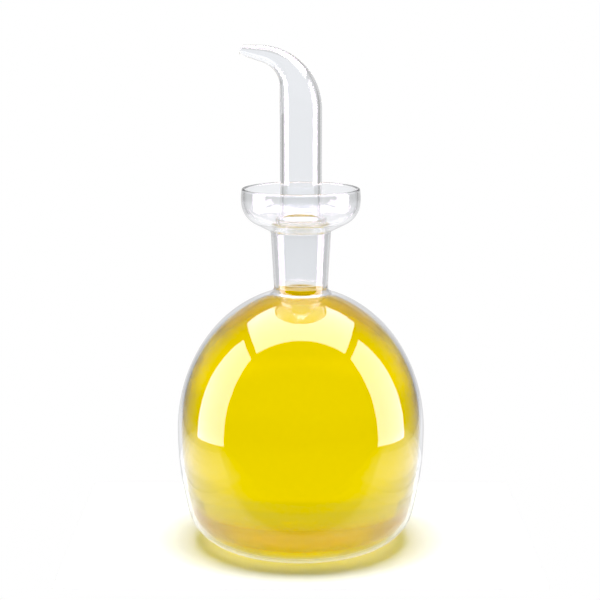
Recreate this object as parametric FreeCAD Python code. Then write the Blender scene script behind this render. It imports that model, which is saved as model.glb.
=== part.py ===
"""Blown-glass oil cruet: flask, ground neck, drip cup, oil and a lift-out pourer.

Millimetres, +Z up. The origin is the centre of the base and the spout points along -X.
"""
import FreeCAD, Part
import math
import os

# Flask
flask_radius = 45.2          # outside, at the equator
equator_height = 42.4        # widest level above the table
crown_rise = 52.4            # height of the half-ellipse crown above the equator
side_radius = 126.7          # barrel curve of the lower side
heel_radius = 16.8           # rounding between the side and the base
flask_wall = 1.3
foot_ring_width = 5.0        # flat ring that the flask stands on
push_up = 1.2                # hollow in the middle of the base

# Ground joint between the neck and the pourer
joint_diameter = 18.8        # wide end of the ground cone
joint_length = 23.3
joint_taper = 0.1            # change in diameter per unit of length
joint_gap = 0.05             # radial clearance of the ground surfaces
collar_stand = 4.2           # how far the cone's wide end stands above the neck's mouth

# Neck
neck_length = 22.5           # from the flask's crown to the mouth
neck_wall = 1.65
neck_flare = 1.7             # how far the foot of the neck spreads on to the crown

# Drip cup
cup_radius = 21.55           # outside, at its widest
cup_height = 15.5            # from the neck's mouth to the rim
cup_wall = 1.25
cup_side_radius = 17.0
cup_corner_radius = 8.7
cup_side_lean = 8.8          # degrees from upright where the side runs into the corner
cup_floor_angle = 27.2       # degrees of fall of the floor towards the neck

# Oil
oil_headroom = 1.6           # oil surface below the end of the ground cone
oil_gap = 0.05               # between the oil and the glass

# Pourer
cone_wall = 1.5
cone_foot_round = 0.5        # fire-polished edges at the foot of the cone
groove_radius = 0.6          # half-round drip and air groove along the back of the cone
groove_above_mouth = 1.5
tube_diameter = 15.0
tube_wall = 1.2
tube_length = 36.3           # straight tube above the collar's shoulder
throat_straight = 9.5        # hollow side of the spout: upright, then bent over, then straight to the tip
throat_radius = 8.8
throat_turn = 71.0
throat_run = 8.9
back_straight = 1.5          # rounded side of the spout: upright length before it bends to level
tip_diameter = 3.4
tip_wall = 0.75
tip_round = 0.35             # fire-polished lip of the tip
tip_cut_angle = 72.0         # lean of the tip's cut face, in degrees above level
throat_lag = 1.42            # keeps the spout's sections square to its line round the bend
draw_sections = 13

AXIS_POINT = FreeCAD.Vector(0, 0, 0)
UP = FreeCAD.Vector(0, 0, 1)
ACROSS = FreeCAD.Vector(0, 1, 0)
QUARTERS = (0, 90, 180, 270)
level_tolerance = 0.01       # how near a level an edge lies to count as on it


def point(radius, height):
    return FreeCAD.Vector(radius, 0, height)


def polar(centre, radius, degrees):
    """Point on a circle in the section plane, measured from outward towards up."""
    turn = math.radians(degrees)
    return centre + point(radius * math.cos(turn), radius * math.sin(turn))


def line(start, end):
    return Part.LineSegment(start, end).toShape()


def arc(centre, radius, first, last):
    middle = polar(centre, radius, (first + last) / 2)
    return Part.Arc(polar(centre, radius, first), middle, polar(centre, radius, last)).toShape()


def revolved(edges):
    """Solid of revolution about the bottle's axis from a closed chain of edges."""
    return Part.Face(Part.Wire(edges)).revolve(AXIS_POINT, UP, 360)


def fire_polished(shape, rounding, on_edge):
    """The shape with rounded edges where the glass was melted back in a flame."""
    return shape.makeFillet(rounding, [edge for edge in shape.Edges if on_edge(edge)])


# Levels and radii that several pieces share
half_taper = joint_taper / 2
joint_radius = joint_diameter / 2
mouth_bore = joint_radius + joint_gap - half_taper * collar_stand
crown_bore = mouth_bore - half_taper * neck_length
mouth_radius = mouth_bore + neck_wall
neck_foot_radius = crown_bore + neck_wall
flare_radius = neck_foot_radius + neck_flare
weld_height = equator_height + crown_rise * math.sqrt(1 - (flare_radius / flask_radius) ** 2)
mouth_height = weld_height + neck_length
collar_height = mouth_height + collar_stand
cone_foot_height = collar_height - joint_length
cone_foot_radius = joint_radius - half_taper * joint_length
tube_radius = tube_diameter / 2
shoulder_radius = joint_radius - tube_radius
tube_foot_height = collar_height + shoulder_radius


def crown_height(radius, inset):
    """Height of the crown at a radius, for the outside or an inset surface."""
    share = radius / (flask_radius - inset)
    return equator_height + (crown_rise - inset) * math.sqrt(1 - share ** 2)


def vessel_outline(inset, crown_end):
    """Section from the axis at the base, out round the heel and up to the crown."""
    lean = math.degrees(math.asin((equator_height - heel_radius) / (side_radius - heel_radius)))
    side_centre = point(flask_radius - side_radius, equator_height)
    heel_centre = polar(side_centre, side_radius - heel_radius, -lean)
    dome_chord = heel_centre.x - foot_ring_width
    dome_radius = (dome_chord ** 2 + push_up ** 2) / (2 * push_up)
    dome_centre = point(0, push_up - dome_radius)
    dome_edge = math.degrees(math.asin((inset - dome_centre.z) / (dome_radius + inset)))
    base_dome = arc(dome_centre, dome_radius + inset, 90, dome_edge)
    foot_ring = line(polar(dome_centre, dome_radius + inset, dome_edge), point(heel_centre.x, inset))
    heel = arc(heel_centre, heel_radius - inset, -90, -lean)
    side = arc(side_centre, side_radius - inset, -lean, 0)
    crown = Part.BezierCurve()
    top = crown_height(0, inset)
    equator = point(flask_radius - inset, equator_height)
    crown.setPoles([equator, point(equator.x, top), point(0, top)])
    crown.setWeight(2, math.sqrt(0.5))
    crown_point = point(crown_end, crown_height(crown_end, inset))
    return [base_dome, foot_ring, heel, side, crown.toShape(0, crown.parameter(crown_point))]


def make_flask():
    outside = vessel_outline(0, flare_radius)
    inside = vessel_outline(flask_wall, crown_bore)
    weld_face = line(point(flare_radius, weld_height), point(crown_bore, weld_height))
    hole = line(point(crown_bore, weld_height), point(crown_bore, crown_height(crown_bore, flask_wall)))
    base_axis = line(point(0, push_up + flask_wall), point(0, push_up))
    return revolved(outside + [weld_face, hole] + inside[::-1] + [base_axis])


def make_neck_socket():
    share = flare_radius / flask_radius
    crown_slope = math.degrees(math.atan(crown_rise / flask_radius * share / math.sqrt(1 - share ** 2)))
    fillet_radius = neck_flare / (1 - math.sin(math.radians(crown_slope)))
    fillet_rise = fillet_radius * math.cos(math.radians(crown_slope))
    fillet_centre = point(neck_foot_radius + fillet_radius, weld_height + fillet_rise)
    weld_face = line(point(crown_bore, weld_height), point(flare_radius, weld_height))
    flare = arc(fillet_centre, fillet_radius, 270 - crown_slope, 180)
    outside = line(polar(fillet_centre, fillet_radius, 180), point(mouth_radius, mouth_height))
    mouth = line(point(mouth_radius, mouth_height), point(mouth_bore, mouth_height))
    bore = line(point(mouth_bore, mouth_height), point(crown_bore, weld_height))
    return revolved([weld_face, flare, outside, mouth, bore])


def make_drip_cup():
    corner_end = cup_floor_angle - 90
    fall = math.tan(math.radians(cup_floor_angle))
    side_x = cup_radius - cup_side_radius
    centre_gap = cup_side_radius - cup_corner_radius
    corner_x = side_x + centre_gap * math.cos(math.radians(cup_side_lean))
    floor_edge = corner_x + cup_corner_radius * math.cos(math.radians(corner_end))
    floor_edge_height = mouth_height + (floor_edge - mouth_radius) * fall
    corner_z = floor_edge_height - cup_corner_radius * math.sin(math.radians(corner_end))
    corner_centre = point(corner_x, corner_z)
    side_centre = polar(corner_centre, centre_gap, 180 - cup_side_lean)
    inner_corner = cup_corner_radius - cup_wall
    inner_side = cup_side_radius - cup_wall
    rim_middle = mouth_height + cup_height - cup_wall / 2 - side_centre.z
    rim_angle = math.degrees(math.asin(rim_middle / (cup_side_radius - cup_wall / 2)))
    rim_centre = polar(side_centre, cup_side_radius - cup_wall / 2, rim_angle)
    inner_floor = polar(corner_centre, inner_corner, corner_end)
    floor_drop = inner_floor.z - mouth_height - inner_floor.x * fall
    bore_lip = (mouth_bore + half_taper * floor_drop) / (1 - half_taper * fall)
    lip_height = mouth_height + floor_drop + bore_lip * fall
    return revolved([
        line(point(mouth_bore, mouth_height), point(mouth_radius, mouth_height)),
        line(point(mouth_radius, mouth_height), point(floor_edge, floor_edge_height)),
        arc(corner_centre, cup_corner_radius, corner_end, -cup_side_lean),
        arc(side_centre, cup_side_radius, -cup_side_lean, rim_angle),
        arc(rim_centre, cup_wall / 2, rim_angle, rim_angle + 180),
        arc(side_centre, inner_side, rim_angle, -cup_side_lean),
        arc(corner_centre, inner_corner, -cup_side_lean, corner_end),
        line(inner_floor, point(bore_lip, lip_height)),
        line(point(bore_lip, lip_height), point(mouth_bore, mouth_height)),
    ])


def make_oil_fill():
    inset = flask_wall + oil_gap
    surface = cone_foot_height - oil_headroom
    neck_column = crown_bore - oil_gap
    outline = vessel_outline(inset, neck_column)
    column_foot = point(neck_column, crown_height(neck_column, inset))
    column_top = point(neck_column, surface)
    column = line(column_foot, column_top)
    oil_surface = line(column_top, point(0, surface))
    axis = line(point(0, surface), point(0, push_up + inset))
    return revolved(outline + [column, oil_surface, axis])


def make_ground_cone():
    shoulder_centre = point(joint_radius, tube_foot_height)
    inner_shoulder = shoulder_radius + tube_wall
    shoulder_end = 180 + math.degrees(math.acos(cone_wall / inner_shoulder))
    bore_top = polar(shoulder_centre, inner_shoulder, shoulder_end)
    bore_foot = point(cone_foot_radius - cone_wall, cone_foot_height)
    cone = revolved([
        line(bore_foot, point(cone_foot_radius, cone_foot_height)),
        line(point(cone_foot_radius, cone_foot_height), point(joint_radius, collar_height)),
        arc(shoulder_centre, shoulder_radius, 270, 180),
        line(point(tube_radius, tube_foot_height), point(tube_radius - tube_wall, tube_foot_height)),
        arc(shoulder_centre, inner_shoulder, 180, shoulder_end),
        line(bore_top, bore_foot),
    ])
    foot_level = cone_foot_height + level_tolerance
    cone = fire_polished(cone, cone_foot_round, lambda edge: edge.BoundBox.ZMax < foot_level)
    groove_rise = mouth_height + groove_above_mouth - cone_foot_height
    groove_line = point(half_taper, 1)
    groove_start = point(cone_foot_radius, cone_foot_height) - groove_line
    groove_length = (groove_rise + 1) * groove_line.Length
    groove = Part.makeCylinder(groove_radius, groove_length, groove_start, groove_line)
    return cone.cut(groove)


def bent_line(start, straight, radius, turn, run, share):
    """Point a share of the way along a line that goes up, bends over towards -X and runs on."""
    bend = radius * math.radians(turn)
    travel = share * (straight + bend + run)
    rise = min(travel, straight)
    angle = min(max(travel - straight, 0), bend) / radius
    onward = max(travel - straight - bend, 0)
    across = radius * (math.cos(angle) - 1) - onward * math.sin(angle)
    return start + point(across, rise + radius * math.sin(angle) + onward * math.cos(angle))


def throat_point(share):
    start = point(-tube_radius, tube_foot_height + tube_length)
    return bent_line(start, throat_straight, throat_radius, throat_turn, throat_run, share)


def back_point(share):
    """The rounded side turns through a right angle and ends one tip diameter from the throat."""
    start = point(tube_radius, tube_foot_height + tube_length)
    tip = polar(throat_point(1), tip_diameter, tip_cut_angle)
    radius = tip.z - start.z - back_straight
    run = start.x - radius - tip.x
    return bent_line(start, back_straight, radius, 90, run, share)


def drawn_solid(wall_start, wall_end):
    """The bent and narrowing part of the spout, filled, set in by a wall that thins to the tip."""
    sections = []
    for step in range(draw_sections + 1):
        share = step / draw_sections
        throat = throat_point(share ** throat_lag)
        across = back_point(share) - throat
        lean = math.degrees(math.atan2(across.z, across.x))
        wall = wall_start + (wall_end - wall_start) * share
        radius = across.Length / 2 - wall
        ring = Part.Wire([Part.makeCircle(radius, AXIS_POINT, UP, turn, turn + 90) for turn in QUARTERS])
        ring.Placement = FreeCAD.Placement(throat + across / 2, FreeCAD.Rotation(ACROSS, -lean))
        sections.append(ring)
    return Part.makeLoft(sections, True, False)


def make_pouring_spout():
    foot = point(0, tube_foot_height)
    outside = Part.makeCylinder(tube_radius, tube_length, foot).fuse(drawn_solid(0, 0))
    tube_bore = Part.makeCylinder(tube_radius - tube_wall, tube_length, foot)
    spout = outside.cut(tube_bore.fuse(drawn_solid(tube_wall, tip_wall)))
    tip = throat_point(1)
    ahead = polar(AXIS_POINT, 1, tip_cut_angle + 90)

    def on_lip(edge):
        return all(abs((vertex.Point - tip).dot(ahead)) < level_tolerance for vertex in edge.Vertexes)

    return fire_polished(spout, tip_round, on_lip)


pieces = {
    "flask": make_flask(),
    "neck_socket": make_neck_socket(),
    "drip_cup": make_drip_cup(),
    "oil_fill": make_oil_fill(),
    "ground_cone": make_ground_cone(),
    "pouring_spout": make_pouring_spout(),
}

os.makedirs("parts", exist_ok=True)
for name, shape in pieces.items():
    shape.exportStep(f"parts/{name}.step")
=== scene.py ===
"""Looks of the blown-glass oil cruet: bottle glass, oil and the lift-out pourer, in metres."""

import math

import bpy
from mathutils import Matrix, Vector


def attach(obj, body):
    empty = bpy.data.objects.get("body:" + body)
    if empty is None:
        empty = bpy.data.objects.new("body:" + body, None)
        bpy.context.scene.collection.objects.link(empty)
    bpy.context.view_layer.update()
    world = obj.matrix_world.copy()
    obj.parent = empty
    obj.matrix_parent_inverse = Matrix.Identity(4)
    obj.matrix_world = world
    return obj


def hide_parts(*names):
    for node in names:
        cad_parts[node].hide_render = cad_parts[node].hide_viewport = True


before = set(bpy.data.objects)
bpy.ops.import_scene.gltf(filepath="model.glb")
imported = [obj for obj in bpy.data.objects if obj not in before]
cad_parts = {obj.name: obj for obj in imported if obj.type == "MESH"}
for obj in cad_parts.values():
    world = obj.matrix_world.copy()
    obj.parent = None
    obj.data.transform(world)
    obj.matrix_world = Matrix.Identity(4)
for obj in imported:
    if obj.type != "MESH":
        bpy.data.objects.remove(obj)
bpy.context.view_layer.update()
scene = bpy.context.scene

MM = 0.001

# Sizes of the cruet in millimetres and degrees, the same as in the model that it is packed from
FLASK_RADIUS = 45.2
EQUATOR_HEIGHT = 42.4
CROWN_RISE = 52.4
SIDE_RADIUS = 126.7
HEEL_RADIUS = 16.8
FLASK_WALL = 1.3
FOOT_RING_WIDTH = 5.0
PUSH_UP = 1.2
JOINT_RADIUS = 9.4
JOINT_LENGTH = 23.3
HALF_TAPER = 0.05
JOINT_GAP = 0.05
COLLAR_STAND = 4.2
NECK_LENGTH = 22.5
NECK_WALL = 1.65
NECK_FLARE = 1.7
CUP_RADIUS = 21.55
CUP_HEIGHT = 15.5
CUP_WALL = 1.25
CUP_SIDE_RADIUS = 17.0
CUP_CORNER_RADIUS = 8.7
CUP_SIDE_LEAN = 8.8
CUP_FLOOR_ANGLE = 27.2
OIL_HEADROOM = 1.6
OIL_GAP = 0.05
CONE_WALL = 1.5
GROOVE_RADIUS = 0.6
GROOVE_ABOVE_MOUTH = 1.5
TUBE_RADIUS = 7.5
TUBE_WALL = 1.2
TUBE_LENGTH = 36.3
THROAT_STRAIGHT = 9.5
THROAT_RADIUS = 8.8
THROAT_TURN = 71.0
THROAT_RUN = 8.9
THROAT_LAG = 1.42
BACK_STRAIGHT = 1.5
TIP_DIAMETER = 3.4
TIP_WALL = 0.75
TIP_CUT_ANGLE = 72.0

# Levels and radii that follow from them
MOUTH_BORE = JOINT_RADIUS + JOINT_GAP - HALF_TAPER * COLLAR_STAND
CROWN_BORE = MOUTH_BORE - HALF_TAPER * NECK_LENGTH
MOUTH_RADIUS = MOUTH_BORE + NECK_WALL
NECK_FOOT_RADIUS = CROWN_BORE + NECK_WALL
FLARE_RADIUS = NECK_FOOT_RADIUS + NECK_FLARE
WELD_HEIGHT = EQUATOR_HEIGHT + CROWN_RISE * math.sqrt(1 - (FLARE_RADIUS / FLASK_RADIUS) ** 2)
MOUTH_HEIGHT = WELD_HEIGHT + NECK_LENGTH
COLLAR_HEIGHT = MOUTH_HEIGHT + COLLAR_STAND
CONE_FOOT_HEIGHT = COLLAR_HEIGHT - JOINT_LENGTH
CONE_FOOT_RADIUS = JOINT_RADIUS - HALF_TAPER * JOINT_LENGTH
GROOVE_TOP = MOUTH_HEIGHT + GROOVE_ABOVE_MOUTH
SHOULDER_RADIUS = JOINT_RADIUS - TUBE_RADIUS
TUBE_FOOT_HEIGHT = COLLAR_HEIGHT + SHOULDER_RADIUS
TUBE_TOP_HEIGHT = TUBE_FOOT_HEIGHT + TUBE_LENGTH
OIL_LEVEL = CONE_FOOT_HEIGHT - OIL_HEADROOM

# How the edges, the oil's surface and the ground joint are finished, in millimetres and degrees
FIRE_POLISH = 0.3        # how far a worked edge of the glass is melted round
OIL_EDGE = 0.1           # how far an edge of the oil is rounded
HARD_CORNER = 8          # turn past which two runs meet in an edge
CUT_LIMIT = 0.45         # largest share of a run's last step that the rounding takes
MENISCUS_DIP = 0.8       # how far the middle of the oil's surface hangs below its edge on the glass
MENISCUS_REACH = 2.4     # how far from the glass the oil's surface bends
GROUND_DEPTH = 0.3       # faces this near to the joint's taper are ground
GROUND_MARGIN = 1.0      # how far the grinding goes past the ends of the joint
GROOVED_FOOT = 1.0       # width of the cone's foot that the groove cuts into
NARROW_RADIUS = 3.0      # rings narrower than this have a seam of a fixed turn
SHARP_ANGLE = 50         # edges sharper than this aren't shaded smooth

# How finely each stretch is divided
FACETS_ROUND = 192
POLISH_STEPS = 6
DOME_STEPS = 12
FOOT_RING_STEPS = 3
HEEL_STEPS = 24
SIDE_STEPS = 16
CROWN_STEPS = 48
FLARE_STEPS = 10
NECK_STEPS = 10
CUP_FLOOR_STEPS = 6
CUP_CORNER_STEPS = 14
CUP_SIDE_STEPS = 10
CUP_RIM_STEPS = 10
SOCKET_STEPS = 14
CROWN_HOLE_STEPS = 3
OIL_COLUMN_STEPS = 4
OIL_SURFACE_STEPS = 24
OIL_SURFACE_GATHER = 1.3     # above 1, the steps of the oil's surface are finer near the glass
CONE_FOOT_STEPS = 2
CONE_STEPS = 20
COLLAR_STEPS = 4
SHOULDER_STEPS = 10
TUBE_STEPS = 16
INNER_SHOULDER_STEPS = 8
CONE_BORE_STEPS = 14
SPOUT_STEPS = 150
LIP_STEPS = 8
RING_STEPS = 120
GROOVE_STEPS = 9
NARROW_SEAM = 0.25           # half the turn of a narrow ring's seam, in radians


def polar(centre, radius, degrees):
    turn = math.radians(degrees)
    return Vector((centre[0] + radius * math.cos(turn), centre[1] + radius * math.sin(turn)))


def arc(centre, radius, first, last, steps):
    return [polar(centre, radius, first + (last - first) * k / steps) for k in range(steps + 1)]


def line(start, end, steps):
    start, end = Vector(start), Vector(end)
    return [start.lerp(end, k / steps) for k in range(steps + 1)]


def shortened(run, length):
    """The run without a length at its end."""
    run = list(run)
    while len(run) > 2 and (run[-1] - run[-2]).length <= length:
        length -= (run[-1] - run[-2]).length
        run.pop()
    step = run[-1] - run[-2]
    run[-1] = run[-1] - step * min(length / step.length, CUT_LIMIT)
    return run


def joined(runs, polish=FIRE_POLISH):
    """One chain of points from runs that meet end to end, with each hard corner melted round."""
    chain = list(runs[0])
    for run in runs[1:]:
        corner = run[0]
        into, out = chain[-1] - chain[-2], run[1] - run[0]
        if into.angle(out) > math.radians(HARD_CORNER):
            chain = shortened(chain, polish)
            run = shortened(run[::-1], polish)[::-1]
            first, last = chain[-1], run[0]
            for k in range(1, POLISH_STEPS):
                share = k / POLISH_STEPS
                chain.append(first.lerp(corner, share).lerp(corner.lerp(last, share), share))
            chain += run
        else:
            chain += run[1:]
    return chain


def vessel_runs(inset, crown_end):
    """Runs from the axis at the base, round the heel and up the side to the crown."""
    lean = math.degrees(math.asin((EQUATOR_HEIGHT - HEEL_RADIUS) / (SIDE_RADIUS - HEEL_RADIUS)))
    side_centre = (FLASK_RADIUS - SIDE_RADIUS, EQUATOR_HEIGHT)
    heel_centre = polar(side_centre, SIDE_RADIUS - HEEL_RADIUS, -lean)
    chord = heel_centre.x - FOOT_RING_WIDTH
    dome_radius = (chord ** 2 + PUSH_UP ** 2) / (2 * PUSH_UP)
    dome_centre = (0, PUSH_UP - dome_radius)
    dome_edge = math.degrees(math.asin((inset - dome_centre[1]) / (dome_radius + inset)))
    dome = arc(dome_centre, dome_radius + inset, 90, dome_edge, DOME_STEPS)
    dome[0].x = 0
    wide, rise = FLASK_RADIUS - inset, CROWN_RISE - inset
    end = math.acos(crown_end / wide)
    turns = [end * k / CROWN_STEPS for k in range(CROWN_STEPS + 1)]
    crown = [Vector((wide * math.cos(t), EQUATOR_HEIGHT + rise * math.sin(t))) for t in turns]
    return [
        dome,
        line(dome[-1], (heel_centre.x, inset), FOOT_RING_STEPS),
        arc(heel_centre, HEEL_RADIUS - inset, -90, -lean, HEEL_STEPS),
        arc(side_centre, SIDE_RADIUS - inset, -lean, 0, SIDE_STEPS),
        crown,
    ]


def neck_runs():
    """Outside of the neck, from the flare on the crown up to the mouth."""
    share = FLARE_RADIUS / FLASK_RADIUS
    slope = math.degrees(math.atan(CROWN_RISE / FLASK_RADIUS * share / math.sqrt(1 - share ** 2)))
    radius = NECK_FLARE / (1 - math.sin(math.radians(slope)))
    rise = radius * math.cos(math.radians(slope))
    centre = (NECK_FOOT_RADIUS + radius, WELD_HEIGHT + rise)
    flare = arc(centre, radius, 270 - slope, 180, FLARE_STEPS)
    return [flare, line(flare[-1], (MOUTH_RADIUS, MOUTH_HEIGHT), NECK_STEPS)]


def cup_runs():
    """Drip cup from the mouth, out and up to the rim, down its inside and down the socket to the crown."""
    corner_end = CUP_FLOOR_ANGLE - 90
    fall = math.tan(math.radians(CUP_FLOOR_ANGLE))
    gap = CUP_SIDE_RADIUS - CUP_CORNER_RADIUS
    corner_x = CUP_RADIUS - CUP_SIDE_RADIUS + gap * math.cos(math.radians(CUP_SIDE_LEAN))
    edge_x = corner_x + CUP_CORNER_RADIUS * math.cos(math.radians(corner_end))
    edge_z = MOUTH_HEIGHT + (edge_x - MOUTH_RADIUS) * fall
    corner = (corner_x, edge_z - CUP_CORNER_RADIUS * math.sin(math.radians(corner_end)))
    side = polar(corner, gap, 180 - CUP_SIDE_LEAN)
    middle = CUP_SIDE_RADIUS - CUP_WALL / 2
    rim_angle = math.degrees(math.asin((MOUTH_HEIGHT + CUP_HEIGHT - CUP_WALL / 2 - side.y) / middle))
    rim = polar(side, middle, rim_angle)
    floor_end = polar(corner, CUP_CORNER_RADIUS - CUP_WALL, corner_end)
    drop = floor_end.y - MOUTH_HEIGHT - floor_end.x * fall
    lip = (MOUTH_BORE + HALF_TAPER * drop) / (1 - HALF_TAPER * fall)
    lip_height = MOUTH_HEIGHT + drop + lip * fall
    return [
        line((MOUTH_RADIUS, MOUTH_HEIGHT), (edge_x, edge_z), CUP_FLOOR_STEPS),
        arc(corner, CUP_CORNER_RADIUS, corner_end, -CUP_SIDE_LEAN, CUP_CORNER_STEPS),
        arc(side, CUP_SIDE_RADIUS, -CUP_SIDE_LEAN, rim_angle, CUP_SIDE_STEPS),
        arc(rim, CUP_WALL / 2, rim_angle, rim_angle + 180, CUP_RIM_STEPS),
        arc(side, CUP_SIDE_RADIUS - CUP_WALL, rim_angle, -CUP_SIDE_LEAN, CUP_SIDE_STEPS),
        arc(corner, CUP_CORNER_RADIUS - CUP_WALL, -CUP_SIDE_LEAN, corner_end, CUP_CORNER_STEPS),
        line(floor_end, (lip, lip_height), CUP_FLOOR_STEPS),
        line((lip, lip_height), (CROWN_BORE, WELD_HEIGHT), SOCKET_STEPS),
    ]


def bottle_outline():
    """Flask, neck and cup as one skin: up the outside, over the cup's rim and down the inside."""
    outside = vessel_runs(0, FLARE_RADIUS)
    inside = [run[::-1] for run in vessel_runs(FLASK_WALL, CROWN_BORE)[::-1]]
    hole = line((CROWN_BORE, WELD_HEIGHT), inside[0][0], CROWN_HOLE_STEPS)
    return joined(outside + neck_runs() + cup_runs() + [hole] + inside)[::-1]


def oil_outline():
    """Oil up to the neck, with its surface drawn up where it wets the glass."""
    column = CROWN_BORE - OIL_GAP
    body = vessel_runs(FLASK_WALL + OIL_GAP, column)
    wall = line(body[-1][-1], (column, OIL_LEVEL), OIL_COLUMN_STEPS)
    surface = [wall[-1]]
    for k in range(1, OIL_SURFACE_STEPS + 1):
        radius = column * (1 - (k / OIL_SURFACE_STEPS) ** OIL_SURFACE_GATHER)
        climb = max(0, 1 - (column - radius) / MENISCUS_REACH)
        surface.append(Vector((radius, OIL_LEVEL - MENISCUS_DIP * (1 - climb ** 2))))
    return joined(body + [wall, surface], OIL_EDGE)[::-1]


def lathe_tree():
    """Node tree that turns an outline in the X-Z plane round the cruet's axis."""
    tree = bpy.data.node_groups.new("glass_lathe", "GeometryNodeTree")
    sockets = tree.interface
    sockets.new_socket("Outline", in_out="INPUT", socket_type="NodeSocketGeometry")
    facets = sockets.new_socket("Facets round", in_out="INPUT", socket_type="NodeSocketInt")
    facets.default_value = FACETS_ROUND
    swing = sockets.new_socket("Swing radius", in_out="INPUT", socket_type="NodeSocketFloat")
    swing.default_value = 1.0
    pole = sockets.new_socket("Pole weld", in_out="INPUT", socket_type="NodeSocketFloat")
    pole.default_value = 1e-6
    sockets.new_socket("Finish", in_out="INPUT", socket_type="NodeSocketMaterial")
    sockets.new_socket("Turned piece", in_out="OUTPUT", socket_type="NodeSocketGeometry")
    node = {name: tree.nodes.new(kind) for name, kind in {
        "sizes": "NodeGroupInput", "outline": "GeometryNodeMeshToCurve", "place": "GeometryNodeInputPosition",
        "split": "ShaderNodeSeparateXYZ", "inward": "ShaderNodeMath", "down": "ShaderNodeMath",
        "laid": "ShaderNodeCombineXYZ", "lay": "GeometryNodeSetPosition",
        "swing": "GeometryNodeCurvePrimitiveCircle", "turn": "GeometryNodeCurveToMesh",
        "poles": "GeometryNodeMergeByDistance", "smooth": "GeometryNodeSetShadeSmooth",
        "real": "GeometryNodeRealizeInstances", "finish": "GeometryNodeSetMaterial",
        "done": "NodeGroupOutput",
    }.items()}
    node["inward"].operation = "SUBTRACT"
    node["down"].operation = "MULTIPLY"
    node["down"].inputs[1].default_value = -1
    for source, output, target, socket in [
        ("sizes", "Outline", "outline", "Mesh"), ("place", "Position", "split", "Vector"),
        ("split", "X", "inward", 0), ("sizes", "Swing radius", "inward", 1), ("split", "Z", "down", 0),
        ("inward", 0, "laid", "X"), ("down", 0, "laid", "Y"), ("outline", "Curve", "lay", "Geometry"),
        ("laid", "Vector", "lay", "Position"), ("sizes", "Facets round", "swing", "Resolution"),
        ("sizes", "Swing radius", "swing", "Radius"), ("swing", "Curve", "turn", "Curve"),
        ("lay", "Geometry", "turn", "Profile Curve"), ("turn", "Mesh", "poles", "Geometry"),
        ("sizes", "Pole weld", "poles", "Distance"), ("poles", "Geometry", "smooth", "Geometry"),
        ("smooth", "Geometry", "real", "Geometry"), ("real", "Geometry", "finish", "Geometry"),
        ("sizes", "Finish", "finish", "Material"), ("finish", "Geometry", "done", "Turned piece"),
    ]:
        tree.links.new(node[source].outputs[output], node[target].inputs[socket])
    return tree


def turned(name, outline, tree, finish):
    """Piece turned on the lathe tree from its outline."""
    blank = bpy.data.meshes.new(name + "_outline")
    points = [(p.x * MM, 0, p.y * MM) for p in outline]
    blank.from_pydata(points, [(k, k + 1) for k in range(len(points) - 1)], [])
    piece = bpy.data.objects.new(name, blank)
    scene.collection.objects.link(piece)
    modifier = piece.modifiers.new("lathe", "NODES")
    modifier.node_group = tree
    socket = {item.name: item.identifier for item in tree.interface.items_tree if item.in_out == "INPUT"}
    modifier[socket["Facets round"]] = FACETS_ROUND
    modifier[socket["Finish"]] = finish
    made = bpy.data.meshes.new_from_object(piece.evaluated_get(bpy.context.evaluated_depsgraph_get()))
    piece.modifiers.clear()
    piece.data = made
    made.name = name
    bpy.data.meshes.remove(blank)
    return piece


def pourer_outlines():
    """Outside and bore of the straight part of the pourer, each as one chain of points."""
    shoulder = (JOINT_RADIUS, TUBE_FOOT_HEIGHT)
    inner_shoulder = SHOULDER_RADIUS + TUBE_WALL
    shoulder_end = 180 + math.degrees(math.acos(CONE_WALL / inner_shoulder))
    bore_foot = Vector((CONE_FOOT_RADIUS - CONE_WALL, CONE_FOOT_HEIGHT))
    cone_foot = Vector((CONE_FOOT_RADIUS, CONE_FOOT_HEIGHT))
    collar = Vector((JOINT_RADIUS, COLLAR_HEIGHT))
    groove_end = cone_foot.lerp(collar, (GROOVE_TOP - CONE_FOOT_HEIGHT) / JOINT_LENGTH)
    tube_bore = TUBE_RADIUS - TUBE_WALL
    outside = joined([
        line(bore_foot, cone_foot, CONE_FOOT_STEPS),
        line(cone_foot, groove_end, CONE_STEPS),
        line(groove_end, collar, COLLAR_STEPS),
        arc(shoulder, SHOULDER_RADIUS, 270, 180, SHOULDER_STEPS),
        line((TUBE_RADIUS, TUBE_FOOT_HEIGHT), (TUBE_RADIUS, TUBE_TOP_HEIGHT), TUBE_STEPS),
    ])
    bore = joined([
        line((tube_bore, TUBE_TOP_HEIGHT), (tube_bore, TUBE_FOOT_HEIGHT), TUBE_STEPS),
        arc(shoulder, inner_shoulder, 180, shoulder_end, INNER_SHOULDER_STEPS),
        line(polar(shoulder, inner_shoulder, shoulder_end), bore_foot, CONE_BORE_STEPS),
    ])
    return outside, bore


def bent_line(start, straight, radius, turn, run, share):
    """Point a share of the way along a line that goes up, bends over towards -X and runs on."""
    bend = radius * math.radians(turn)
    travel = share * (straight + bend + run)
    rise = min(travel, straight)
    angle = min(max(travel - straight, 0), bend) / radius
    onward = max(travel - straight - bend, 0)
    across = radius * (math.cos(angle) - 1) - onward * math.sin(angle)
    return start + Vector((across, rise + radius * math.sin(angle) + onward * math.cos(angle)))


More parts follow.
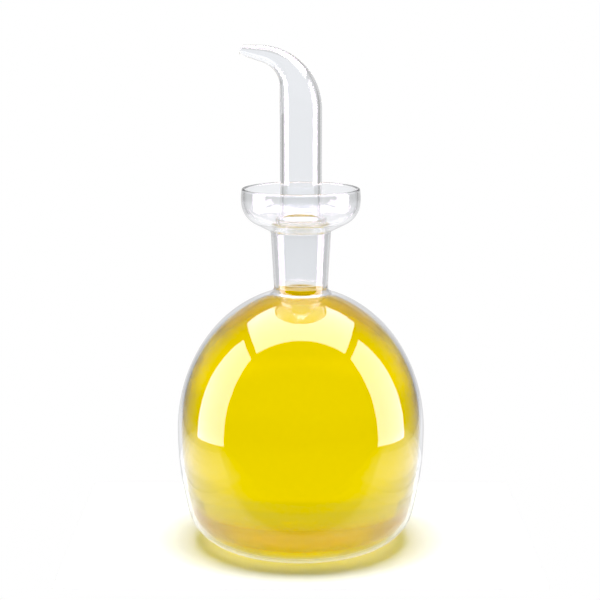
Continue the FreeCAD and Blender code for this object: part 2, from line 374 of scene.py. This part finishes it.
def spout_edges(share):
    """Throat and back points of the spout, a share of the way along its bent, drawn part."""
    throat_start = Vector((-TUBE_RADIUS, TUBE_TOP_HEIGHT))
    back_start = Vector((TUBE_RADIUS, TUBE_TOP_HEIGHT))
    bend = (THROAT_STRAIGHT, THROAT_RADIUS, THROAT_TURN, THROAT_RUN)
    tip = polar(bent_line(throat_start, *bend, 1), TIP_DIAMETER, TIP_CUT_ANGLE)
    radius = tip.y - TUBE_TOP_HEIGHT - BACK_STRAIGHT
    run = back_start.x - radius - tip.x
    throat = bent_line(throat_start, *bend, share ** THROAT_LAG)
    return throat, bent_line(back_start, BACK_STRAIGHT, radius, 90, run, share)


def spout_sections():
    """Sections of the bent, drawn part of the spout as (middle, across, radius, wall)."""
    sections = []
    for k in range(1, SPOUT_STEPS + 1):
        share = k / SPOUT_STEPS
        throat, back = spout_edges(share)
        across = back - throat
        wall = TUBE_WALL + (TIP_WALL - TUBE_WALL) * share
        sections.append((throat.lerp(back, 0.5), across.normalized(), across.length / 2, wall))
    return sections


def pourer_rings():
    """Rings of the pourer as (middle, across, radius, grooved), up the outside and back down the bore."""
    level = Vector((1, 0))
    outside, bore = pourer_outlines()
    *drawn, tip = spout_sections()
    rings = []
    for p in outside:
        grooved = p.y < GROOVE_TOP and p.x > CONE_FOOT_RADIUS - GROOVED_FOOT
        rings.append((Vector((0, p.y)), level, p.x, grooved))
    rings += [(middle, across, radius, False) for middle, across, radius, wall in drawn]
    middle, across, radius, wall = tip
    ahead = Vector((-across.y, across.x))
    for k in range(LIP_STEPS + 1):
        turn = math.pi * k / LIP_STEPS
        lip = radius - wall / 2 * (1 - math.cos(turn))
        rings.append((middle + ahead * wall / 2 * (math.sin(turn) - 1), across, lip, False))
    rings += [(middle, across, radius - wall, False) for middle, across, radius, wall in drawn[::-1]]
    rings += [(Vector((0, p.y)), level, p.x, False) for p in bore[:-1]]
    return rings


def pourer_mesh(name):
    """Closed skin through the pourer's rings; the groove side of each ring faces +X."""
    verts, faces = [], []
    rings = pourer_rings()
    for middle, across, radius, grooved in rings:
        seam = math.asin(GROOVE_RADIUS / radius) if radius > NARROW_RADIUS else NARROW_SEAM
        round_turn = 2 * math.pi - 2 * seam
        points = [(seam + round_turn * k / RING_STEPS, radius) for k in range(RING_STEPS + 1)]
        for k in range(1, GROOVE_STEPS):
            swing = math.pi * (k / GROOVE_STEPS - 0.5)
            turn = math.asin(math.sin(swing) * math.sin(seam))
            groove_floor = radius * math.cos(turn) - GROOVE_RADIUS * math.cos(swing)
            points.append((2 * math.pi + turn, groove_floor if grooved else radius))
        for turn, reach in points:
            flat = middle + across * reach * math.cos(turn)
            verts.append((flat.x * MM, reach * math.sin(turn) * MM, flat.y * MM))
    count = RING_STEPS + GROOVE_STEPS
    for k in range(len(rings)):
        this, after = k * count, (k + 1) % len(rings) * count
        for j in range(count):
            step = (j + 1) % count
            faces.append((this + j, this + step, after + step, after + j))
    mesh = bpy.data.meshes.new(name)
    mesh.from_pydata(verts, [], faces)
    mesh.shade_smooth()
    mesh.set_sharp_from_angle(angle=math.radians(SHARP_ANGLE))
    return mesh


# Finishes of the glass, the oil and the table
GLASS_IOR = 1.473
CORD_SCALE, CORD_DEPTH = 60, 0.000004    # how close and how deep the cords in the glass are
PLAIN, GROUND = 0, 1                     # places of the two finishes in a glass piece's list


def shader(name):
    """New material and its Principled shader."""
    material = bpy.data.materials.new(name)
    material.use_nodes = True
    return material, material.node_tree.nodes["Principled BSDF"]


def clear_glass(name, tint, roughness):
    material, glass = shader(name)
    glass.inputs["Base Color"].default_value = (*tint, 1)
    glass.inputs["Roughness"].default_value = roughness
    glass.inputs["IOR"].default_value = GLASS_IOR
    glass.inputs["Transmission Weight"].default_value = 1.0
    return material, glass


def blown_glass():
    """Fire-bright glass, with the faint cords left in it when it was drawn and blown."""
    material, glass = clear_glass("blown_glass", (0.985, 0.992, 1.0), 0.0)
    tree = material.node_tree
    place = tree.nodes.new("ShaderNodeTexCoord")
    cords = tree.nodes.new("ShaderNodeTexNoise")
    cords.inputs["Scale"].default_value = CORD_SCALE
    cords.inputs["Detail"].default_value = 1.0
    bump = tree.nodes.new("ShaderNodeBump")
    bump.inputs["Strength"].default_value = 1.0
    bump.inputs["Distance"].default_value = CORD_DEPTH
    tree.links.new(place.outputs["Object"], cords.inputs["Vector"])
    tree.links.new(cords.outputs["Fac"], bump.inputs["Height"])
    tree.links.new(bump.outputs["Normal"], glass.inputs["Normal"])
    return material


def ground_glass():
    """Finely ground faces of the joint."""
    material, _ = clear_glass("ground_glass", (0.99, 0.995, 1.0), 0.12)
    return material


def olive_oil():
    """Clear yellow oil, tinted at its surface and through its depth."""
    material, oil = shader("olive_oil")
    oil.inputs["Base Color"].default_value = (0.97, 0.78, 0.02, 1)
    oil.inputs["Roughness"].default_value = 0.1
    oil.inputs["IOR"].default_value = 1.40
    oil.inputs["Transmission Weight"].default_value = 1.0
    tree = material.node_tree
    tint = tree.nodes.new("ShaderNodeVolumeAbsorption")
    tint.inputs["Color"].default_value = (0.98, 0.95, 0.05, 1)
    tint.inputs["Density"].default_value = 12
    tree.links.new(tint.outputs["Volume"], tree.nodes["Material Output"].inputs["Volume"])
    return material


def white_paper():
    material, paper = shader("white_paper")
    paper.inputs["Base Color"].default_value = (0.83, 0.83, 0.83, 1)
    paper.inputs["Roughness"].default_value = 1.0
    paper.inputs["Specular IOR Level"].default_value = 0.0
    return material


def finish_faces(piece, materials, which):
    """Gives each face of a piece one of the materials, by a rule on its middle in millimetres."""
    piece.data.materials.clear()
    for material in materials:
        piece.data.materials.append(material)
    for face in piece.data.polygons:
        middle = face.center
        face.material_index = which(math.hypot(middle.x, middle.y) / MM, middle.z / MM)


def bottle_finish(radius, height):
    """The socket is ground where the cone sits in it."""
    bore = CROWN_BORE + HALF_TAPER * (height - WELD_HEIGHT)
    seated = height > CONE_FOOT_HEIGHT - GROUND_MARGIN
    return GROUND if seated and radius < bore + GROUND_DEPTH else PLAIN


def pourer_finish(radius, height):
    """The cone is ground where it sits in the socket."""
    taper = CONE_FOOT_RADIUS + HALF_TAPER * (height - CONE_FOOT_HEIGHT)
    seated = height < MOUTH_HEIGHT + GROUND_MARGIN
    return GROUND if seated and radius > taper - GROUND_DEPTH else PLAIN


# Pieces
plain, ground = blown_glass(), ground_glass()
lathe = lathe_tree()

bottle = turned("bottle_glass", bottle_outline(), lathe, plain)
finish_faces(bottle, [plain, ground], bottle_finish)
oil = turned("oil", oil_outline(), lathe, olive_oil())
pourer = bpy.data.objects.new("pourer_glass", pourer_mesh("pourer_glass"))
finish_faces(pourer, [plain, ground], pourer_finish)
scene.collection.objects.link(pourer)

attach(bottle, "bottle")
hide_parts("flask", "neck_socket", "drip_cup")
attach(oil, "bottle")
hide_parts("oil_fill")
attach(pourer, "pourer")
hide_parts("ground_cone", "pouring_spout")

# Table
TABLE_FRONT, TABLE_BACK, TABLE_SIDE, TABLE_TOP = -0.053, 0.07, 0.085, -0.0002
table_mesh = bpy.data.meshes.new("table")
table_mesh.from_pydata(
    [(-TABLE_SIDE, TABLE_FRONT, TABLE_TOP), (TABLE_SIDE, TABLE_FRONT, TABLE_TOP),
     (TABLE_SIDE, TABLE_BACK, TABLE_TOP), (-TABLE_SIDE, TABLE_BACK, TABLE_TOP)], [], [(0, 1, 2, 3)])
table_mesh.materials.append(white_paper())
table = bpy.data.objects.new("table", table_mesh)
scene.collection.objects.link(table)
table.visible_glossy = False

# Lamps of the studio: places and sizes in metres, brightness as the radiance of the lamp's face
LEFT, RIGHT, UP, DOWN, FRONT = (-1, 0, 0), (1, 0, 0), (0, 0, 1), (0, 0, -1), (0, -1, 0)
SIDE_PANEL_OFFSET, SIDE_PANEL_BACK, SIDE_PANEL_HEIGHT = 0.247, -0.0235, 0.157
SIDE_PANEL_SIZE = (0.147, 0.314)
SIDE_HIGHLIGHT = (10, 8.0, 10)
TOP_PANEL_BACK, TOP_PANEL_HEIGHT = 0.04, 0.345
TOP_PANEL_SIZE = (0.46, 0.27)
TOP_HIGHLIGHT = (9.6, 7.8, 9.6)
TOP_THROUGH = 0.95
FLOOR_LIGHT_PLACE = (0, -0.04, 1.0)
FLOOR_LIGHT_SIZE = (0.68, 0.41)
FLOOR_LIGHT = 19
LAYER_GAP = 0.001                          # step that keeps lamps apart where one lies on another
SWEEP_BACK, SWEEP_HEIGHT = 0.32, 0.19
SWEEP_HALF_WIDTHS = (0.14, 0.165, 0.19)    # the sweep fades out in three layers, each wider than the last
SWEEP_FRONTS = (-0.075, -0.1, -0.125)
SWEEP_SHARES = (0.4, 0.35, 0.25)
SWEEP_FLOOR, SWEEP_WALL = 0.55, 0.6
SIDE_PAPER_OFFSET, SIDE_PAPER_TOP = 0.23, -0.004
SIDE_PAPER_SIZE = (0.3, 0.22)
SIDE_PAPER_INSETS = (0, 0.02, 0.04)
SIDE_PAPER = 0.42
NEAR_PAPER_PLACE = (0, -0.035, -0.008)
NEAR_PAPER_SIZE = (0.17, 0.13)
NEAR_PAPER = 0.4
FLOOR_THROUGH_TOP, FLOOR_THROUGH_SIDE = -0.003, 0.38
FLOOR_THROUGH = 0.38
BACK_THROUGH_WIDTH, BACK_THROUGH_TOP = 0.4, 0.25
BACK_THROUGH = 0.3
TUBE_THROUGH_HEIGHT = 0.14
TUBE_THROUGH_SIZE = (0.12, 0.1)
TUBE_THROUGH = (0.17, 0.175, 0.19)


def grey(radiance):
    return (radiance, radiance, radiance)


def light_panel(name, middle, facing, size, radiance, reaches):
    """Flat lamp of one colour that reaches only one kind of ray: reflection, glass or floor."""
    lamp = bpy.data.lights.new(name, "AREA")
    lamp.shape = "RECTANGLE"
    lamp.size, lamp.size_y = size
    strength = max(radiance)
    lamp.energy = strength * math.pi * lamp.size * lamp.size_y
    lamp.color = [share / strength for share in radiance]
    panel = bpy.data.objects.new(name, lamp)
    panel.location = middle
    panel.rotation_euler = Vector(facing).to_track_quat("-Z", "Y").to_euler()
    panel.visible_camera = False
    panel.visible_diffuse = reaches == "floor"
    panel.visible_glossy = reaches == "reflection"
    panel.visible_transmission = reaches == "glass"
    scene.collection.objects.link(panel)


# Panels that the flask mirrors, and the lamp that lights the floor
for name, side, facing in (("left_panel", -1, RIGHT), ("right_panel", 1, LEFT)):
    place = (side * SIDE_PANEL_OFFSET, SIDE_PANEL_BACK, SIDE_PANEL_HEIGHT)
    light_panel(name, place, facing, SIDE_PANEL_SIZE, SIDE_HIGHLIGHT, "reflection")
top_place = Vector((0, TOP_PANEL_BACK, TOP_PANEL_HEIGHT))
through_place = top_place + LAYER_GAP * Vector(UP)
light_panel("top_panel", top_place, DOWN, TOP_PANEL_SIZE, TOP_HIGHLIGHT, "reflection")
light_panel("top_through", through_place, DOWN, TOP_PANEL_SIZE, grey(TOP_THROUGH), "glass")
light_panel("floor_light", FLOOR_LIGHT_PLACE, DOWN, FLOOR_LIGHT_SIZE, grey(FLOOR_LIGHT), "floor")

# Paper sweep under and behind the cruet, and brighter paper at its sides and near it
for k, (half_width, front, share) in enumerate(zip(SWEEP_HALF_WIDTHS, SWEEP_FRONTS, SWEEP_SHARES)):
    layer = (k + 1) * LAYER_GAP / 2
    floor_place = (0, (SWEEP_BACK + front) / 2, -layer)
    floor_size = (2 * half_width, SWEEP_BACK - front)
    light_panel("sweep_floor", floor_place, UP, floor_size, grey(SWEEP_FLOOR * share), "reflection")
    wall_place = (0, SWEEP_BACK + layer, SWEEP_HEIGHT / 2)
    wall_size = (2 * half_width, SWEEP_HEIGHT)
    light_panel("sweep_wall", wall_place, FRONT, wall_size, grey(SWEEP_WALL * share), "reflection")
for side in (-1, 1):
    for k, inset in enumerate(SIDE_PAPER_INSETS):
        place = (side * SIDE_PAPER_OFFSET, 0, SIDE_PAPER_TOP - k * LAYER_GAP)
        size = [length - 2 * inset for length in SIDE_PAPER_SIZE]
        light_panel("side_paper", place, UP, size, grey(SIDE_PAPER), "reflection")
light_panel("near_paper", NEAR_PAPER_PLACE, UP, NEAR_PAPER_SIZE, grey(NEAR_PAPER), "reflection")

# The sweep again, as it is seen through the glass
through_floor = (0, SWEEP_BACK - FLOOR_THROUGH_SIDE / 2, FLOOR_THROUGH_TOP)
through_wall = (0, SWEEP_BACK + LAYER_GAP / 5, (BACK_THROUGH_TOP + FLOOR_THROUGH_TOP) / 2)
through_wall_size = (BACK_THROUGH_WIDTH, BACK_THROUGH_TOP - FLOOR_THROUGH_TOP)
behind_tube = (0, SWEEP_BACK + 4 * LAYER_GAP, TUBE_THROUGH_HEIGHT)
light_panel("floor_through", through_floor, UP, [FLOOR_THROUGH_SIDE] * 2, grey(FLOOR_THROUGH), "glass")
light_panel("back_through", through_wall, FRONT, through_wall_size, grey(BACK_THROUGH), "glass")
light_panel("tube_through", behind_tube, FRONT, TUBE_THROUGH_SIZE, TUBE_THROUGH, "glass")

# Room round the studio: its colours, and the directions between which they change, as parts of a unit vector
ROOM_MIRRORED = (0.02, 0.02, 0.02)
ROOM_THROUGH = (0.45, 0.45, 0.45)
PALE_THROUGH = (0.62, 0.62, 0.63)
ROOM_ON_FLOOR = (0.35, 0.42, 0.42)
LOW_ROOM_ON_FLOOR = (2.1, 2.5, 2.5)
BACKDROP = (1, 1, 1)
HORIZON = (-0.02, 0.04)
LOW_ROOM = (0.9, 0.3)
FLOOR_EDGE = (-0.12, -0.15)
SIDE_START = (0.86, 0.78)
SIDE_RISE = (0.05, 0.15)
world = bpy.data.worlds.new("studio")
scene.world = world
world.use_nodes = True
room = world.node_tree
room.nodes.clear()


def ramp(value, limits):
    """Rises from 0 at the first limit to 1 at the second."""
    node = room.nodes.new("ShaderNodeMapRange")
    node.inputs["From Min"].default_value, node.inputs["From Max"].default_value = limits
    room.links.new(value, node.inputs["Value"])
    return node.outputs["Result"]


def both(first, second):
    node = room.nodes.new("ShaderNodeMath")
    node.operation = "MULTIPLY"
    room.links.new(first, node.inputs[0])
    room.links.new(second, node.inputs[1])
    return node.outputs[0]


def wall(colour):
    node = room.nodes.new("ShaderNodeBackground")
    node.inputs["Color"].default_value = (*colour, 1)
    return node.outputs[0]


def where(share, colour, otherwise):
    node = room.nodes.new("ShaderNodeMixShader")
    room.links.new(share, node.inputs[0])
    room.links.new(otherwise, node.inputs[1])
    room.links.new(wall(colour), node.inputs[2])
    return node.outputs[0]


ray = room.nodes.new("ShaderNodeLightPath").outputs
way = room.nodes.new("ShaderNodeSeparateXYZ")
room.links.new(room.nodes.new("ShaderNodeTexCoord").outputs["Generated"], way.inputs[0])
through_glass = ray["Is Transmission Ray"]
below = ramp(way.outputs["Z"], FLOOR_EDGE)
aside = both(ramp(way.outputs["Y"], SIDE_START), ramp(way.outputs["Z"], SIDE_RISE))
onto_floor = both(both(through_glass, ray["Diffuse Depth"]), ramp(way.outputs["Z"], HORIZON))
light = where(through_glass, ROOM_THROUGH, wall(ROOM_MIRRORED))
light = where(both(through_glass, below), PALE_THROUGH, light)
light = where(both(through_glass, aside), PALE_THROUGH, light)
light = where(onto_floor, ROOM_ON_FLOOR, light)
light = where(both(onto_floor, ramp(way.outputs["Z"], LOW_ROOM)), LOW_ROOM_ON_FLOOR, light)
light = where(ray["Is Camera Ray"], BACKDROP, light)
room.links.new(light, room.nodes.new("ShaderNodeOutputWorld").inputs["Surface"])

# Camera
LENS, SENSOR = 100, 36
CAMERA_PLACE = (-0.0003, -0.59556, 0.20074)
CAMERA_TILT = 10.51
camera_data = bpy.data.cameras.new("camera")
camera_data.lens, camera_data.sensor_width = LENS, SENSOR
camera = bpy.data.objects.new("camera", camera_data)
camera.location = CAMERA_PLACE
camera.rotation_euler = (math.radians(90 - CAMERA_TILT), 0, 0)
scene.collection.objects.link(camera)
scene.camera = camera

# Light paths long enough for glass inside glass, and for the lamps that lie one on another
GLASS_BOUNCES, LAMP_LAYERS = 128, 64
scene.view_settings.view_transform = "Standard"
scene.cycles.max_bounces = GLASS_BOUNCES
scene.cycles.transmission_bounces = GLASS_BOUNCES
scene.cycles.glossy_bounces = GLASS_BOUNCES
scene.cycles.transparent_max_bounces = LAMP_LAYERS
scene.cycles.blur_glossy = 0

# Print of the picture, a little richer in colour
SATURATION = 1.1
scene.use_nodes = True
print_tree = scene.node_tree
print_tree.nodes.clear()
taken = print_tree.nodes.new("CompositorNodeRLayers")
richer = print_tree.nodes.new("CompositorNodeHueSat")
richer.inputs["Saturation"].default_value = SATURATION
printed = print_tree.nodes.new("CompositorNodeComposite")
print_tree.links.new(taken.outputs["Image"], richer.inputs["Image"])
print_tree.links.new(richer.outputs["Image"], printed.inputs["Image"])
